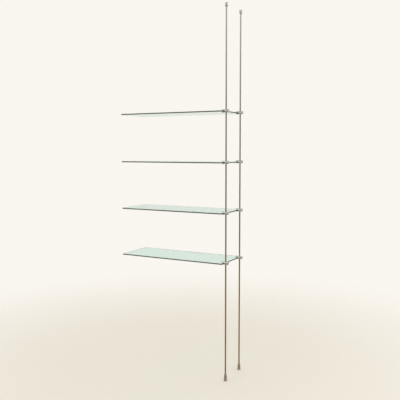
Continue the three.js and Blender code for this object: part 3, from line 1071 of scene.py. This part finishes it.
studio = {
    "paleSurround": (0.955, 0.925, 0.865), "floorColor": (0.86, 0.825, 0.765), "floorRough": 0.6,
    "floorRadius": 3.4, "floorFade": (0.7, 3.332), "floorRings": 11, "floorSides": 96,
    # What metal and glass reflect, from straight below to straight above: the sine of the height angle and
    # the colour. The pale side is what lies well behind the shelves, by the share of +Y in the direction, or
    # well to their left, by the share of -X.
    "dimSide": [
        (-1.0, (0.52, 0.48, 0.41)), (-0.66, (0.47, 0.43, 0.36)), (-0.48, (0.27, 0.23, 0.175)),
        (-0.41, (0.315, 0.23, 0.13)), (-0.33, (0.405, 0.257, 0.087)), (-0.27, (0.36, 0.223, 0.078)),
        (-0.21, (0.26, 0.165, 0.09)), (-0.15, (0.15, 0.14, 0.10)), (-0.085, (0.09, 0.08, 0.055)),
        (-0.045, (0.125, 0.125, 0.11)), (0.016, (0.21, 0.22, 0.21)), (0.04, (0.28, 0.265, 0.243)),
        (0.11, (0.36, 0.345, 0.30)), (0.17, (0.45, 0.435, 0.41)), (0.22, (0.56, 0.52, 0.51)),
        (0.4, (0.57, 0.55, 0.525)), (0.6, (0.60, 0.59, 0.56)), (1.0, (0.54, 0.53, 0.50)),
    ],
    "paleSide": [
        (-1.0, (0.32, 0.285, 0.23)), (-0.55, (0.36, 0.32, 0.26)), (-0.25, (0.60, 0.575, 0.52)),
        (-0.12, (0.79, 0.79, 0.74)), (-0.02, (0.92, 0.92, 0.86)), (0.05, (0.92, 0.92, 0.86)),
        (0.1, (0.80, 0.80, 0.76)), (0.7, (0.80, 0.80, 0.76)), (1.0, (0.54, 0.53, 0.50)),
    ],
    "behindReach": (0.70, 0.82), "leftReach": (0.90, 0.96),
    # Each light's place, size, power and colour. Both look at the same point.
    "lights": {
        "keySoftbox": ((-0.9, -3.0, 3.9), (2.6, 1.8), 12, (1.0, 0.97, 0.92)),
        "sideSoftbox": ((3.2, 0.6, 3.0), (1.6, 1.6), 9, (1.0, 0.98, 0.95)),
    },
    "lightTarget": (0.2, 0, 1.3),
}


def makeFloor():
    # A flat disc of rings; its material fades to clear towards the rim
    ring = np.linspace(0, studio["floorRadius"], studio["floorRings"] + 1)
    points = turnedGrid(np.stack([ring, 0 * ring], axis=-1), studio["floorSides"])
    floor = newObject("studio_floor", gridMesh("studio_floor", points))
    material, tree, shader = blankMaterial("floorPale")
    far = addNode(tree, "ShaderNodeVectorMath", objectPlace(tree), settings={"operation": "LENGTH"})
    fade = mapped(tree, far.outputs["Value"], studio["floorFade"], manner="SMOOTHSTEP")
    clear = addNode(tree, "ShaderNodeBsdfTransparent").outputs[0]
    feedByName(tree, shader, {"Base Color": (*studio["floorColor"], 1), "Roughness": studio["floorRough"]})
    surfaceMix(tree, fade, shader.outputs[0], clear)
    floor.data.materials.append(material)
    floor.visible_glossy = False  # the steel's lower parts then mirror the surround


def heightRamp(tree, rise, stops):
    # A colour for each height angle, from straight below to straight above
    ramp = addNode(tree, "ShaderNodeValToRGB", rise)
    marks = ramp.color_ramp.elements
    while len(marks) < len(stops):
        marks.new(0.5)
    for mark, (height, color) in zip(marks, stops):
        mark.position = (height + 1) / 2
        mark.color = (*color, 1)
    return ramp.outputs[0]


def makeSurround():
    # One pale tone for the camera, past and through the glass, and for matt surfaces. Metal and glass reflect
    # warm brown below, dim at eye level and brighter upwards, with a pale side behind and on the left.
    world = bpy.data.worlds.new("studio")
    bpy.context.scene.world = world
    world.use_nodes = True
    tree = world.node_tree
    direction = addNode(tree, "ShaderNodeTexCoord").outputs["Generated"]
    way = addNode(tree, "ShaderNodeSeparateXYZ", direction).outputs
    rise = mapped(tree, way["Z"], (-1.0, 1.0))
    dim = heightRamp(tree, rise, studio["dimSide"])
    pale = heightRamp(tree, rise, studio["paleSide"])
    leftward = calculated(tree, "MULTIPLY", way["X"], -1.0)
    behind = mapped(tree, way["Y"], studio["behindReach"], manner="SMOOTHSTEP")
    left = mapped(tree, leftward, studio["leftReach"], manner="SMOOTHSTEP")
    around = mixColor(tree, calculated(tree, "MAXIMUM", behind, left), dim, pale)
    plain = addNode(tree, "ShaderNodeBackground", (*studio["paleSurround"], 1), 1.0).outputs[0]
    reflected = addNode(tree, "ShaderNodeBackground", around, 1.0).outputs[0]
    ray = addNode(tree, "ShaderNodeLightPath").outputs
    direct = calculated(tree, "MAXIMUM", ray["Is Camera Ray"], ray["Is Transmission Ray"])
    mirrored = calculated(tree, "GREATER_THAN", ray["Is Glossy Ray"], direct)
    surfaceMix(tree, mirrored, plain, reflected, "World Output")


def makeLight(name, place, size, power, color):
    data = bpy.data.lights.new(name, "AREA")
    data.shape = "RECTANGLE"
    data.size, data.size_y = size
    data.energy = power
    data.color = color
    light = newObject(name, data)
    light.visible_transmission = False  # the glass then shows the pale surround, not the lamp
    light.location = place
    aim = Vector(studio["lightTarget"]) - Vector(place)
    light.rotation_euler = aim.to_track_quat("-Z", "Y").to_euler()


# Fitted to the photograph. The place is in metres from the middle between the poles, the angles in radians
# (the pitch downwards), the focal length and the image's width in pixels, and the sensor in millimetres.
view = {
    "place": (1.59531, -3.48478, 1.56776), "pitch": 0.08980, "yaw": 0.48771, "roll": -0.00113,
    "focal": 567.43, "imageWidth": 400, "sensor": 36.0, "clip": (0.05, 50.0),
}


def makeCamera():
    data = bpy.data.cameras.new("camera")
    data.sensor_width = view["sensor"]
    data.lens = view["focal"] / view["imageWidth"] * view["sensor"]
    data.clip_start, data.clip_end = view["clip"]
    camera = newObject("camera", data)
    place = Matrix.Translation(Vector(view["place"]) + Vector((middle("front_pole")[0], 0, 0)))
    heading = Matrix.Rotation(view["yaw"], 4, "Z")
    tilt = Matrix.Rotation(math.pi / 2 - view["pitch"], 4, "X")
    camera.matrix_world = place @ heading @ tilt @ Matrix.Rotation(view["roll"], 4, "Z")
    bpy.context.scene.camera = camera


makeFloor()
makeSurround()
for name, settings in studio["lights"].items():
    makeLight(name, *settings)
makeCamera()
bpy.context.scene.view_settings.view_transform = "Standard"
print("studio made")
